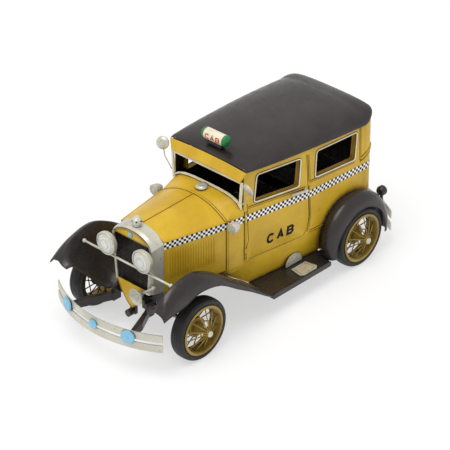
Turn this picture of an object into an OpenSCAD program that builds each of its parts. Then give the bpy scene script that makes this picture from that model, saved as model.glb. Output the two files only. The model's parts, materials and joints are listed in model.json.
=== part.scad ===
// Decorative tin taxi of the late 1920s style, with a friction motor on its rear axle.
// Millimetres. Origin on the floor midway between the axles, front towards -Y, the car's left towards +X.

/* [Running gear] */
// Distance between the front and rear axles
wheelbase = 200; // [199:0.5:201]
// Distance from the car's middle to the middle of a tyre
wheel_x = 60.2; // [60:0.1:60.4]
// Outer radius of a tyre, which is also the height of the axles
tyre_r = 28.1; // [28:0.05:28.2]
// Width of a tyre
tyre_w = 13; // [12.6:0.1:13]
// Radius of the hole in a tyre
tyre_bore_r = 21.9; // [21.8:0.05:22]
// Number of wire spokes in each of a wheel's two rows
spokes = 12; // [10:1:14]
// Radius of the axle shafts
axle_r = 2; // [1.9:0.05:2]
// Radial clearance of a shaft in its bearing
running_gap = 0.05; // [0.03:0.01:0.08]

/* [Body] */
// Thickness of the pressed tin panels
tin = 1; // [0.8:0.1:1.1]
// Height of the lower edge of the doors
sill_z = 49; // [48.9:0.1:49.5]
// Rear face of the body
back_y = 132.5; // [132:0.1:133]
// Radius of the body's rear corners, seen from above
corner_r = 12; // [10:1:14]

/* [Friction motor] */
// Module of the gears
gear_module = 0.6; // [0.6:0.05:0.6]
// Teeth on the two large gears
gear_teeth = 30; // [30:1:30]
// Teeth on the two pinions
pinion_teeth = 10; // [10:1:10]
// Radius of the flywheel
flywheel_r = 10; // [8:0.5:10]
// Amount by which each tooth is thinned for backlash
backlash = 0.2; // [0.15:0.01:0.22]

/* [Bumpers] */
// Radius of the bumper bars' curve, seen from above
bumper_r = 113.8; // [110:0.1:118]
// Distance from the car's middle to the front of either bumper
bumper_y = 162.3; // [162:0.1:162.5]
// Half angle that each bumper bar spans
bumper_half_angle = 33; // [31:0.5:33]

/* [Hidden] */
$fn = 48;

mustard = [0.82, 0.62, 0.14];
black_paint = [0.16, 0.13, 0.12];
silver = [0.72, 0.71, 0.66];
cream = [0.88, 0.86, 0.76];
gold = [0.62, 0.47, 0.14];
light_blue = [0.49, 0.76, 0.9];
green = [0.1, 0.5, 0.2];

axle_y = wheelbase / 2;
axle_z = tyre_r;
seam = 0.1;

// The body's half width along its length
body_line = [[-116.5, 23.5], [-104, 25], [-42, 38], [-24, 40.2], [45, 49], [118, 51.4]];
function body_x(y) = lookup(y, body_line);

// Lengths of the pressings along the car
radiator_front = -116.5;
radiator_back = -104;
cowl_front = -42;
body_front = -24;
body_rear = 118;

// Height of the side panels' top edge, just under the roof's drip edge
function drip_z(y) = 138.3 - 0.0624 * (y + 22);

// Rows of points through a few stations, smoothed with a Catmull-Rom curve
function between(p, i, t) =
    let (a = p[max(i - 1, 0)], b = p[i], c = p[i + 1], d = p[min(i + 2, len(p) - 1)])
    0.5 * (2 * b + (c - a) * t + (2 * a - 5 * b + 4 * c - d) * t * t + (3 * b - a - 3 * c + d) * t * t * t);
function smooth(p, n) = [for (i = [0:len(p) - 2], k = [0:n - 1]) between(p, i, k / n), p[len(p) - 1]];

// Height of a pressed arch at x: half width w, edge height z0, middle height z1
function arch_z(x, w, z0, z1, p, q) = z0 + (z1 - z0) * pow(max(0, 1 - pow(min(1, abs(x / w)), p)), 1 / q);
function arch(w, z0, z1, p, q, n = 12) =
    [for (i = [-n:n]) let (x = w * sin(90 * i / n)) [x, arch_z(x, w, z0, z1, p, q)]];

module both() {
    children();
    mirror([1, 0, 0]) children();
}

// Extrudes a (y, z) outline along X
module along_x(x, length) translate([x, 0, 0]) rotate([90, 0, 90]) linear_extrude(length) children();
// Extrudes an (x, z) outline along Y
module along_y(y, length) translate([0, y + length, 0]) rotate([90, 0, 0]) linear_extrude(length) children();
// Turns a child that points along Z to point along X or towards -Y
module point_x() rotate([0, 90, 0]) children();
module point_front() rotate([90, 0, 0]) children();

// A round rod between two points
module rod(a, b, r) {
    d = b - a;
    translate(a) rotate([0, acos(d[2] / norm(d)), atan2(d[1], d[0])]) cylinder(r = r, h = norm(d), $fn = 16);
}

// A closed sheet between an outer and an inner grid of points
module sheet(outer, inner) {
    m = len(outer);
    n = len(outer[0]);
    o = m * n;
    skin = [for (i = [0:m - 2], j = [0:n - 2]) let (a = i * n + j)
        each [[a, a + 1, a + n], [a + 1, a + n + 1, a + n]]];
    back = [for (t = skin) [t[0] + o, t[2] + o, t[1] + o]];
    rim = concat([for (j = [0:n - 2]) j + 1], [for (i = [1:m - 1]) i * n + n - 1],
        [for (j = [n - 2:-1:0]) (m - 1) * n + j], [for (i = [m - 2:-1:0]) i * n]);
    loop = concat([0], rim);
    side = [for (k = [0:len(loop) - 2]) let (a = loop[k], b = loop[k + 1])
        each [[a, a + o, b], [b, a + o, b + o]]];
    polyhedron(points = [for (r = outer) each r, for (r = inner) each r], faces = concat(skin, back, side));
}

// ---- Chassis and floor ----

rail_x = 15.5;
rail_w = 3;
rail_z = 38;
rail_h = 8;
rail_front = -121;
rail_rear = 134;
// Front crossmember, behind the apron, and the crank boss that hangs from it
crank_y = -116.9;

module chassis_frame() color(black_paint) difference() {
    union() {
        both() {
            translate([rail_x, rail_front, rail_z]) cube([rail_w, rail_rear - rail_front, rail_h]);
            for (s = [-1, 1]) translate([rail_x, s * axle_y - 4, axle_z - 5])
                cube([rail_w, 8, rail_z - axle_z + 6]);
        }
        for (y = [crank_y, -62, 20, rail_rear - 5])
            translate([-rail_x, y, rail_z + 1]) cube([2 * rail_x, 5, rail_h - 2]);
        translate([0, crank_y, 26]) point_front() cylinder(r = 3.2, h = 6);
        translate([-3, crank_y, 23.4]) cube([6, 3, rail_z - 20]);
    }
    for (s = [-1, 1]) translate([-30, s * axle_y, axle_z]) point_x() cylinder(r = axle_r + running_gap, h = 60);
}

floor_top = sill_z + 3;
module floor_pan() color(black_paint) translate([0, 0, floor_top - tin]) linear_extrude(tin)
    polygon([for (s = [1, -1]) let (ys = [-102, cowl_front, body_front, 45, body_rear])
        each [for (i = [0:4]) let (y = s > 0 ? ys[i] : ys[4 - i]) [s * (body_x(y) - tin - 0.25), y]]]);

// ---- Side panels, back, cowl ----

window_slack = 2.4;
front_window = [[-13.2, 103.6], [36.4, 100.2], [38.4, 127.4], [-10.2, 129.6]];
rear_window = [[55, 101.8], [105.4, 98.8], [107.4, 125.8], [56.6, 127.4]];

// Outline with its corners rounded by radius r, from circles and the straight runs between them
module rounded(p, r) {
    mid = (p[0] + p[1] + p[2] + p[3]) / 4;
    inset = [for (q = p) q + [q[0] < mid[0] ? r : -r, q[1] < mid[1] ? r : -r]];
    for (q = inset) translate(q) circle(r, $fn = 24);
    polygon([inset[0] - [r, 0], inset[0] - [0, r], inset[1] - [0, r], inset[1] + [r, 0],
        inset[2] + [r, 0], inset[2] + [0, r], inset[3] + [0, r], inset[3] - [r, 0]]);
}

module body_side() color(mustard) difference() {
    translate([0, 0, sill_z]) linear_extrude(100) polygon([
        [body_x(body_front), body_front], [body_x(45), 45], [body_x(body_rear), body_rear],
        [body_x(body_rear) - tin, body_rear], [body_x(45) - tin, 45], [body_x(body_front) - tin, body_front]]);
    along_x(30, 30) polygon([[body_front - 1, drip_z(body_front) + 0.8],
        [body_rear + 1, drip_z(body_rear) + 0.8], [body_rear + 1, 160], [body_front - 1, 160]]);
    along_x(30, 30) rounded(front_window, window_slack);
    along_x(30, 30) rounded(rear_window, window_slack);
}
module body_left() body_side();
module body_right() mirror([1, 0, 0]) body_side();

// Half of the plan of the wrapped back, from the side seam round the corner to the middle
function back_plan(inset) = let (x = body_x(body_rear) - inset, r = corner_r - inset, y = back_y - inset)
    concat([[x, body_rear + seam]], [for (a = [0:10:90]) [x - r + r * cos(a), y - r + r * sin(a)]]);

rear_glass = [20, 107, 125];
module body_back() color(mustard) difference() {
    translate([0, 0, sill_z + 2]) linear_extrude(100) both()
        polygon(concat([[-0.1, back_y]], [for (i = [10:-1:0]) back_plan(0)[i]], back_plan(tin),
            [[-0.1, back_y - tin]]));
    along_x(-60, 120) polygon([[body_rear - 1, drip_z(body_rear) + 0.6],
        [body_rear + 2, drip_z(body_rear) + 0.6], [125, 132.6], [129.5, 135.4], [131.5, 136.2],
        [140, 136.2], [140, 160], [body_rear - 1, 160]]);
    along_y(back_y - 8, 20) polygon([[-rear_glass[0], rear_glass[1]], [rear_glass[0], rear_glass[1]],
        [rear_glass[0], rear_glass[2]], [-rear_glass[0], rear_glass[2]]]);
}

// Cross-sections of the bonnet line: half width, shoulder height, middle height, and the arch's powers
hood_front_section = [25, 98.2, 107.2, 2.2, 1];
hood_rear_section = [38, 96, 108.8, 2.2, 1];
cowl_rear_section = [40.2, 98.5, 111, 4, 2];

module section(s, inset, bottom) {
    w = s[0] - inset;
    polygon(concat([[-w, bottom]], arch(w, s[1] - inset * 0.4, s[2] - inset, s[3], s[4]), [[w, bottom]]));
}
module loft(y1, s1, b1, y2, s2, b2, inset) hull() {
    along_y(y1, 0.01) section(s1, inset, b1);
    along_y(y2 - 0.01, 0.01) section(s2, inset, b2);
}

module hood_top() color(mustard) difference() {
    loft(radiator_back + seam, hood_front_section, hood_front_section[1] - 0.01,
        cowl_front - seam, hood_rear_section, hood_rear_section[1] - 0.01, 0);
    loft(radiator_back - 1, hood_front_section, 80, cowl_front + 1, hood_rear_section, 80, tin);
}

hood_bottom = 47;
module hood_side() color(mustard) difference() {
    translate([0, 0, hood_bottom]) linear_extrude(80) polygon([
        [body_x(radiator_back), radiator_back + seam], [body_x(cowl_front), cowl_front - seam],
        [body_x(cowl_front) - tin, cowl_front - seam], [body_x(radiator_back) - tin, radiator_back + seam]]);
    along_x(20, 30) polygon([[radiator_back - 1, hood_front_section[1] - 0.1],
        [cowl_front + 1, hood_rear_section[1] - 0.1], [cowl_front + 1, 140], [radiator_back - 1, 140]]);
}
module hood_left() hood_side();
module hood_right() mirror([1, 0, 0]) hood_side();

module cowl() color(mustard) difference() {
    loft(cowl_front, hood_rear_section, hood_bottom, body_front - seam, cowl_rear_section, hood_bottom, 0);
    loft(cowl_front - 1, hood_rear_section, hood_bottom - 2, body_front + 1, cowl_rear_section,
        hood_bottom - 2, tin);
}

module dashboard() color(black_paint) along_y(body_front + 0.2, 1.2) section([38.6, 96, 108, 4, 2], 0, 84);

module gas_cap() color(silver) translate([0, -33, 110.9]) {
    cylinder(r1 = 5.4, r2 = 5, h = 1);
    translate([0, 0, 1]) cylinder(r1 = 5, r2 = 3.6, h = 0.8);
}

// ---- Radiator ----

shell_front_section = [23.2, 93, 105.4, 2.4, 1.6];
shell_back_section = [25, 96.5, 107.2, 2.3, 1.2];
shell_bottom = 50;
module radiator_slice(s, foot_x, inset) {
    w = s[0] - inset;
    polygon(concat([[-foot_x + inset, shell_bottom - inset]], arch(w, s[1], s[2] - inset, s[3], s[4]),
        [[foot_x - inset, shell_bottom - inset]]));
}
module radiator_shell() color(silver) difference() {
    hull() {
        along_y(radiator_front, 0.01) radiator_slice(shell_front_section, 19.4, 0);
        along_y(radiator_front + 3, 0.01) radiator_slice([24.4, 94.5, 106.6, 2.4, 1.4], 22.4, 0);
        along_y(radiator_back - 0.01, 0.01) radiator_slice(shell_back_section, 24.6, 0);
    }
    along_y(radiator_front - 1, 20) radiator_slice(shell_front_section, 19.4, 2.4);
}
module radiator_core() color(black_paint) along_y(radiator_front + 1.4, 8) difference() {
    radiator_slice(shell_front_section, 19.4, 2.5);
    translate([-30, 0]) square([60, shell_bottom + 1]);
}

panel_z = 97.2;
module radiator_panel() color(mustard) along_y(radiator_front - 0.9, 0.8)
    polygon(concat([[-20.9, panel_z], [20.9, panel_z]],
        [for (i = [11:-1:-11]) let (x = 20.9 * sin(90 * i / 12)) [x, arch_z(x, 20.9, panel_z, 104.4, 2.2, 1)]]));

module radiator_cap() color(silver) translate([0, -110, 107]) {
    cylinder(r = 3.2, h = 2.6);
    translate([0, 0, 2.6]) cylinder(r1 = 4.1, r2 = 4.3, h = 2.2);
    translate([0, 0, 4.8]) cylinder(r = 4.3, h = 1.6);
    translate([0, 0, 6.4]) cylinder(r1 = 4, r2 = 2.2, h = 2);
}

module front_apron() color(mustard) along_y(radiator_front - 1.6, 1) polygon([[-16.4, 53.4], [-12, 44],
    [-6, 35], [0, 29.4], [6, 35], [12, 44], [16.4, 53.4]]);

// ---- Lamps, horn, mirrors ----

bar_y = -122.2;
bar_z = 75.9;
bar_half = 50.9;
lamp_x = 20.9;
lamp_z = 87.6;
lamp_y = -125.8;
lamp_r = 10.5;

module headlamp_bar() color(silver) {
    translate([-bar_half, bar_y, bar_z]) point_x() cylinder(r = 1, h = 2 * bar_half);
    both() {
        translate([bar_half, bar_y, bar_z]) sphere(r = 1.9);
        translate([20.9, bar_y, bar_z]) rotate([0, 0, 45]) cylinder(r = 1.4, h = 0.9);
        rod([19.5, bar_y, bar_z], [21.2, radiator_front - 1.1, 74], 0.9);
    }
}
module headlamps() color(silver) both() translate([lamp_x, lamp_y, lamp_z]) rotate([-90, 0, 0]) difference() {
    rotate_extrude() polygon([[0, 8], [3.6, 8], [6.6, 6.6], [8.8, 4.4], [9.4, 3.2], [10, 3.2], [10, 1.4],
        [lamp_r, 1.4], [lamp_r, -0.6], [9.8, -1], [8.8, -1], [8.8, 0], [0, 0]]);
    translate([0, 0, -3]) cylinder(r = 8.8, h = 3);
}
module headlamp_lenses() color(cream) both() translate([lamp_x, lamp_y - 0.05, lamp_z]) rotate([90, 0, 0])
    rotate_extrude() polygon([[0, 0], [8.6, 0], [8.6, 0.8], [7, 1.7], [4, 2.4], [0, 2.7]]);

horn_at = [14.3, -127.6, 50.7];
horn_ball = [25.4, -117.2, 59.6];
module horn() color(silver) {
    translate(horn_at) rotate([-90, 0, 0]) rotate_extrude() polygon([[0, 3], [4.6, 1.6], [6.6, 0], [7.5, 0],
        [7.5, 0.7], [5.6, 2.6], [3.6, 5], [2.4, 7.4], [0, 7.6]]);
    rod(horn_at + [0, 6.4, 0], horn_ball, 1.2);
    translate(horn_ball) sphere(r = 1.9);
    rod(horn_ball, [22.1, -115.6, 59.6], 0.9);
}

module cowl_lamps() color(silver) both() {
    translate([45.6, -44.6, 93.5]) rotate([-90, 0, 0]) rotate_extrude() polygon([[0, -0.6], [4.2, -0.2],
        [4.9, 0.4], [5, 2], [4.6, 3.6], [4, 6], [2.6, 8.6], [1, 9.9], [0, 10.2]]);
    rod([44, -40.5, 92], [38.9, -38.5, 88.5], 0.9);
}

// A mirror's head at a point, turned about Z and then tilted up
module mirror_head(at, turn, tilt) translate(at) rotate([0, 0, turn]) rotate([tilt - 90, 0, 0]) rotate_extrude()
    polygon([[0, -1.4], [3.4, -1.1], [5.4, 0], [5.9, 0.9], [5.7, 1.5], [0, 1.5]]);
module mirror_stem(bend) for (i = [0:len(bend) - 2]) hull() for (k = [0, 1])
    translate(bend[i + k]) sphere(r = 0.55, $fn = 10);
module mirrors() color(silver) {
    mirror_head([49.4, -29.4, 125.2], -9, 18);
    mirror_stem([[49.2, -30, 119], [48.6, -29.4, 116.4], [45.6, -28.2, 112], [41.4, -26.6, 107.6]]);
    mirror_head([-49.4, -29.6, 132.4], 22, -20);
    mirror_stem([[-48.4, -29, 126.2], [-47.6, -28.6, 120], [-44.4, -27.8, 114.8], [-41.4, -26.6, 109]]);
}

// ---- Windshield, visor, roof, sign ----

post_y = -27.5;
module windshield_frame() color(cream) along_y(post_y, 1.6) difference() {
    polygon(concat([for (x = [-39.6, -36, -30, -22, -12, 0, 12, 22, 30, 36, 39.6])
        [x, arch_z(x, 40.2, 98.5, 111, 4, 2) + 0.3]], [[41.2, 128], [34, 129], [-34, 129], [-41.2, 128]]));
    polygon(concat([for (x = [-37.6, -34, -26, -14, 0, 14, 26, 34, 37.6])
        [x, arch_z(x, 40.2, 98.5, 111, 4, 2) + 1.7]], [[39.2, 126.8], [-39.2, 126.8]]));
}

module sun_visor() color(mustard) {
    rows = [for (t = [0:0.25:1]) [for (i = [-8:8]) let (s = i / 8)
        [44.2 * s - 4.2 * s * t, -25.5 - 3.9 * t + 0.9 * abs(s) * t, 138 - 9.2 * t + 1.8 * (1 - s * s)]]];
    sheet(rows, [for (r = rows) [for (p = r) p + [0, 0.9, -0.5]]]);
}

// Roof stations: y, half width, drip edge height, middle height
roof_line = [[-24.4, 43.8, 138.1, 139.8], [-15, 45.8, 137.9, 143], [10, 48.4, 136.3, 145.8],
    [60, 51.4, 133.2, 147.4], [105, 52.6, 130.3, 146], [118, 52.6, 129.7, 144.4], [124.5, 51.4, 133.2, 143.4],
    [129.5, 48.2, 136, 142.2], [132.4, 43.6, 137.6, 141.2], [133.4, 39, 138, 140.6]];
function roof_row(s, drop, n = 10) = [for (i = [-n:n]) let (x = (s[1] - drop) * sin(90 * i / n))
    [x, s[0], arch_z(x, s[1] - drop, s[2], s[3] - drop, 2.5, 2.2)]];
module roof_panel() color(black_paint) {
    stations = smooth(roof_line, 3);
    sheet([for (s = stations) roof_row(s, 0)], [for (s = stations) roof_row(s, tin)]);
}

sign_y = -15.3;
sign_z = 151.8;
sign_r = 5;
sign_half = 10.4;
module sign_tube() color(cream) translate([-sign_half, sign_y, sign_z]) point_x()
    cylinder(r = sign_r, h = 2 * sign_half);
cap_r = sign_r + 0.1;
module sign_caps() color(green) both() translate([sign_half + 0.02, sign_y, sign_z]) point_x() rotate_extrude()
    polygon([[0, 0], [cap_r, 0], [cap_r, 1.2], for (a = [15:15:90]) [cap_r * cos(a), 1.2 + 2.8 * sin(a)]]);
module sign_stand() color(black_paint) difference() {
    translate([-8, sign_y - 2.4, 143.8]) cube([16, 4.8, 5]);
    translate([-20, sign_y, sign_z]) point_x() cylinder(r = sign_r + 0.02, h = 40);
}

// ---- Door trim ----

// A four-cornered outline made larger by d on every side
function grow(p, d) = [p[0] + [-d, -d], p[1] + [d, -d], p[2] + [d, d], p[3] + [-d, d]];
module trim(p) difference() {
    rounded(grow(p, 0.9), 3);
    rounded(grow(p, -0.4), 2);
}
module window_trims() color(cream) both() {
    side_skin(0.05, 0.7, body_front, 45) trim(front_window);
    side_skin(0.05, 0.7, 45, body_rear) trim(rear_window);
}
// A thin plate of given outline that lies on the sloping side between two stations
module side_skin(gap, depth, y1, y2) intersection() {
    along_x(30, 40) children();
    linear_extrude(200) polygon([[body_x(y1) + gap, y1], [body_x(y2) + gap, y2],
        [body_x(y2) + gap + depth, y2], [body_x(y1) + gap + depth, y1]]);
}

module door_handles() color(silver) both() {
    translate([48.9, 42.5, 94.7]) point_x() cylinder(r = 1.8, h = 3.2);
    rod([51, 42.5, 94.7], [49.5, 25.8, 96.6], 1.05);
}

// ---- Fenders, boards, aprons ----

crown_x = 57;
lip_x = 67.5;
// Front fender stations: y, crown height, drop to the lip, inner edge x, inner edge height
front_fender_line = [[-147, 65, 6, 47, 61], [-141, 72.5, 12, 44, 62], [-133, 78.5, 17, 38, 52],
    [-122, 82.5, 19, 27, 40], [-112, 84.3, 17.5, 25.2, 38.5], [-100, 82.8, 14.5, 26.2, 46.6],
    [-80, 72.5, 8.5, 30.4, 46.8], [-60, 58, 7, 34.6, 46.8], [-48, 50, 6.5, 37, 46.6],
    [-40, 44.3, 6, 36.5, 40], [-24, 31, 4, 38.6, 28], [-14, 22.8, 1.6, 38.6, 21.4]];
// Half of a fender's section from its inner edge, up a hollow flank to the crown, then down to the lip
function fender_section(s, t) = let (y = s[0], crown = s[1], x_in = s[3], z_in = s[4]) concat(
    [for (k = [8:-1:1]) let (u = pow(k / 8, 1.5)) [crown_x - (crown_x - x_in) * u + t * sin(180 * u), y,
        z_in - t + (crown - z_in) * (1 + cos(180 * pow(u, 0.62))) / 2]],
    [[crown_x, y, crown - t]],
    [for (b = [18:18:90]) [crown_x + (lip_x - crown_x - t) * sin(b), y, crown - t - (s[2] - t) * (1 - cos(b))]]);
module front_fender() color(black_paint) {
    stations = smooth(front_fender_line, 3);
    sheet([for (s = stations) fender_section(s, 0)], [for (s = stations) fender_section(s, tin)]);
}
module front_fender_left() front_fender();
module front_fender_right() mirror([1, 0, 0]) front_fender();

// Rear fender stations: angle up from the front, crown radius, drop to the lip, drop to the inner edge, its x
rear_fender_line = [[-10, 40.5, 5, 8, 45.1], [12, 43, 9, 8, 47.5], [30, 43.8, 11.5, 4, 49.8],
    [60, 43.8, 13, 2.2, 50.3], [90, 43, 12.4, 2.2, 51], [125, 41.6, 11, 2.2, 51.6], [160, 40, 9, 2.2, 52],
    [192, 39.4, 8, 2.2, 52]];
rear_crown_x = 58;
function around_wheel(x, a, r) = [x, axle_y - r * cos(a), axle_z + r * sin(a)];
function rear_section(s, t) = let (a = s[0], crown = s[1] - t, x_in = s[4]) concat(
    [for (k = [0:30:90]) around_wheel(x_in + (rear_crown_x - x_in) * sin(k), a, crown - s[3] * (1 - sin(k)))],
    [for (b = [18:18:90]) around_wheel(rear_crown_x + (lip_x - rear_crown_x - t) * sin(b), a,
        crown - (s[2] - t) * (1 - cos(b)))]);
module rear_fender() color(black_paint) {
    stations = smooth(rear_fender_line, 4);
    sheet([for (s = stations) rear_section(s, 0)], [for (s = stations) rear_section(s, tin)]);
}
module rear_fender_left() rear_fender();
module rear_fender_right() mirror([1, 0, 0]) rear_fender();

board_top = 22;
board_front = -13.4;
board_rear = 58.6;
// Inner edge of the running board, which the splash apron meets
function board_x(y) = lookup(y, [[-44, 34.4], [-14, 36.4], [70, 44.7]]);
module running_boards() color(black_paint) both() translate([0, 0, board_top - 4.4]) linear_extrude(4.4)
    polygon([[board_x(board_front), board_front], [66.2, board_front], [66.2, board_rear], [58, board_rear + 0.6],
        [51.5, 62.9], [board_x(66.4), 66.4]]);

// Height of the splash apron's foot, which rises with the front fender
function foot_z(y) = lookup(y, [[-48, 44.8], [-40, 40.6], [-14, board_top + 0.3], [70, board_top + 0.3]]);
module splash_aprons() color(mustard) both() {
    outer = [for (y = [-47, -40, -24.2, -23.8, -14, 0, 20, 45, 70]) let (foot = foot_z(y))
        [[body_x(y) - 0.4, y, y < body_front ? hood_bottom - 0.2 : sill_z - 0.4],
            [body_x(y) - 1.2, y, max(42, foot + 1)], [board_x(y) + 0.6, y, foot]]];
    sheet(outer, [for (r = outer) [for (p = r) p - [tin, 0, 0]]]);
}

plate_y = 34.5;
module step_plates() color(silver) both() {
    translate([57.2, plate_y, board_top + 0.1]) linear_extrude(1)
        polygon([[-6.6, -9], [5, -11], [7.6, -8], [7.6, 8], [5, 11], [-6.6, 9]]);
    along_x(board_x(plate_y) + 3.6, 0.9) intersection() {
        translate([plate_y, board_top + 1]) circle(10);
        translate([0, board_top + 0.6]) square([80, 20]);
    }
}

// ---- Bumpers ----

bumper_mid = bumper_y - bumper_r;
module bumper_bar(z, height) rotate([0, 0, -90 - bumper_half_angle])
    rotate_extrude(angle = 2 * bumper_half_angle, $fn = 96) translate([bumper_r - 1.2, z]) square([1.2, height]);
module front_bumper_bars() color(silver) translate([0, -bumper_mid, 0]) {
    bumper_bar(25.3, 6.8);
    bumper_bar(35.1, 6.8);
}
module rear_bumper_bars() color(silver) mirror([0, 1, 0]) translate([0, -bumper_mid - 1.3, 0]) {
    bumper_bar(14, 7.4);
    bumper_bar(26.4, 7.4);
}
// Places a child on the front bumper's face, turned by an angle from the middle
module on_bumper(angle, z) translate([0, -bumper_mid, z]) rotate([0, 0, angle]) translate([0, -bumper_r, 0])
    point_front() children();
disc_angle = 18.1;
module bumper_discs() color(light_blue) {
    on_bumper(0, 35) translate([0, 0, 0.1]) cylinder(r = 4.2, h = 1.2);
    for (s = [-1, 1]) on_bumper(s * disc_angle, 36.1) translate([0, 0, 0.8]) cylinder(r = 6.2, h = 1.5);
    translate([0, radiator_front - 1, 101.2]) point_front() cylinder(r = 2.3, h = 0.7);
}
module bumper_brackets() color(black_paint) both() {
    translate([0, 0, 30]) linear_extrude(7) polygon([[33.6, -155.4], [36, -154.5], [31, -136], [20.6, -117],
        [rail_x + rail_w + 0.1, -117], [rail_x + rail_w + 0.1, -120]]);
    translate([0, 0, rail_z - 9]) linear_extrude(14) polygon([[rail_x + rail_w + 0.1, -120.9], [20.8, -120.9],
        [20.8, -112], [rail_x + rail_w + 0.1, -112]]);
    translate([0, 0, 20]) linear_extrude(8) polygon([[33.6, 156.2], [36, 155.4], [31, 137], [20.6, 124],
        [rail_x + rail_w + 0.1, 124], [rail_x + rail_w + 0.1, 128]]);
    translate([rail_x + rail_w + 0.1, 118, 24]) cube([2, 10, 20]);
    on_bumper(disc_angle, 36.1) translate([0, 0, 0.05]) cylinder(r = 4.6, h = 0.7);
}

module tail_lamps() color(black_paint) both() {
    translate([55, 136.6, 55]) rotate([-90, 0, 0]) rotate_extrude()
        polygon([[0, -2], [3.4, -1.2], [4.6, 0.6], [4.6, 4], [4, 5], [0, 5.4]]);
    rod([55, 138.4, 52], [54.4, 140.4, 41], 1.4);
    rod([54.4, 140.4, 41], [58, 140.6, 32], 1.2);
}

// ---- Cabin ----

// A bench pressed from one sheet: front, cushion and back, starting at y
module bench(y, width, back_top) along_x(-width / 2, width) polygon([[y, floor_top + 0.2], [y, 66],
    [y + 22, 68], [y + 27, back_top], [y + 28.6, back_top - 0.4], [y + 23.2, 66.4], [y + 1.6, 64.5],
    [y + 1.6, floor_top + 0.2]]);
module seats() color([0.1, 0.09, 0.09]) {
    bench(8, 72, 88);
    bench(76, 80, 91);
}

wheel_hub = [17, 0, 90];
module steering_wheel() color([0.1, 0.09, 0.09]) translate(wheel_hub) rotate([-62, 0, 0]) {
    rotate_extrude() translate([9.4, 0]) circle(r = 0.8, $fn = 16);
    for (a = [0:120:240]) rotate([0, 0, a]) point_x() cylinder(r = 0.6, h = 9.2, $fn = 16);
    translate([0, 0, -24]) cylinder(r = 0.9, h = 25, $fn = 16);
    cylinder(r = 2.2, h = 1.4);
}

// ---- Wheels ----

rim_r = tyre_bore_r - 0.1;
rim_half = 6.7;
// Points of a rounded tyre section: radius across, width along the axle
function tyre_point(a) = let (mid = (tyre_r + tyre_bore_r) / 2, h = (tyre_r - tyre_bore_r) / 2)
    [mid + h * sign(cos(a)) * pow(abs(cos(a)), 0.62), tyre_w / 2 * sign(sin(a)) * pow(abs(sin(a)), 0.7)];
module tyre() color([0.12, 0.12, 0.12]) point_x() rotate_extrude($fn = 96)
    polygon([for (a = [0:10:350]) tyre_point(a)]);

nose = 13.4;
spoke_r = rim_r - 0.8;
module wheel() color(gold) {
    point_x() difference() {
        union() {
            rotate_extrude($fn = 96) translate([rim_r - 1.4, -rim_half]) square([1.4, 2 * rim_half]);
            rotate_extrude($fn = 96) translate([rim_r + 0.1, rim_half - 0.5]) circle(r = 0.8, $fn = 24);
            translate([0, 0, -7]) cylinder(r = 8.6, h = 5.6);
            rotate_extrude() polygon([[0, -2], [5.4, -2], [3.6, 2], [2.8, 6], [2.8, nose], [0, nose]]);
        }
        translate([0, 0, -8]) cylinder(r = axle_r + 0.02, h = 17);
    }
    for (k = [0:spokes - 1]) {
        a = 360 * k / spokes;
        rod([nose - 1.6, 2.2 * cos(a), 2.2 * sin(a)], [1.6, spoke_r * cos(a + 14), spoke_r * sin(a + 14)], 0.5);
        rod([-3, 7.8 * cos(a + 15), 7.8 * sin(a + 15)],
            [-2.6, spoke_r * cos(a - 12), spoke_r * sin(a - 12)], 0.5);
    }
}
module hub_caps() color(silver) both() translate([wheel_x + nose + 0.02, 0, 0]) point_x() rotate_extrude()
    polygon([[0, 0], [2.8, 0], for (a = [0:15:90]) [2.8 * cos(a), 0.4 + 1.4 * sin(a)]]);

module at_axle(s) translate([0, s * axle_y, axle_z]) children();
module axle() color([0.45, 0.44, 0.42]) translate([-wheel_x - 6, 0, 0]) point_x()
    cylinder(r = axle_r, h = 2 * (wheel_x + 6));
module front_axle() at_axle(-1) axle();
module rear_axle() at_axle(1) axle();
module tyre_front_left() at_axle(-1) translate([wheel_x, 0, 0]) tyre();
module tyre_front_right() at_axle(-1) translate([-wheel_x, 0, 0]) tyre();
module tyre_rear_left() at_axle(1) translate([wheel_x, 0, 0]) tyre();
module tyre_rear_right() at_axle(1) translate([-wheel_x, 0, 0]) tyre();
module wheel_front_left() at_axle(-1) translate([wheel_x, 0, 0]) wheel();
module wheel_front_right() at_axle(-1) translate([-wheel_x, 0, 0]) mirror([1, 0, 0]) wheel();
module wheel_rear_left() at_axle(1) translate([wheel_x, 0, 0]) wheel();
module wheel_rear_right() at_axle(1) translate([-wheel_x, 0, 0]) mirror([1, 0, 0]) wheel();
module hub_caps_front() at_axle(-1) hub_caps();
module hub_caps_rear() at_axle(1) hub_caps();

// ---- Friction motor ----

pressure = 25;
// Involute tooth flank at radius r: half the tooth's angle there
function inv(a) = tan(a) * 180 / PI - a;
function half_tooth(n, r) = let (rp = gear_module * n / 2, rb = rp * cos(pressure))
    (90 / n - backlash / 2 / rp * 180 / PI) + inv(pressure) - (r > rb ? inv(acos(rb / r)) : 0);
function gear_outline(n) = let (rp = gear_module * n / 2, tip = rp + 0.8 * gear_module,
    root = rp - 1.15 * gear_module, rb = rp * cos(pressure), low = max(rb, root),
    steps = [for (i = [0:4]) low + (tip - low) * i / 4])
    [for (k = [0:n - 1]) let (c = 360 * k / n) each concat(
        [let (h = half_tooth(n, low)) root * [cos(c - h), sin(c - h)]],
        [for (r = steps) let (h = half_tooth(n, r)) r * [cos(c - h), sin(c - h)]],
        [for (i = [4:-1:0]) let (r = steps[i], h = half_tooth(n, r)) r * [cos(c + h), sin(c + h)]],
        [let (h = half_tooth(n, low)) root * [cos(c + h), sin(c + h)]])];
module gear(n, x, width, bore) translate([x, 0, 0]) point_x() linear_extrude(width) difference() {
    polygon(gear_outline(n));
    if (bore > 0) circle(r = bore);
}

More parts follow.
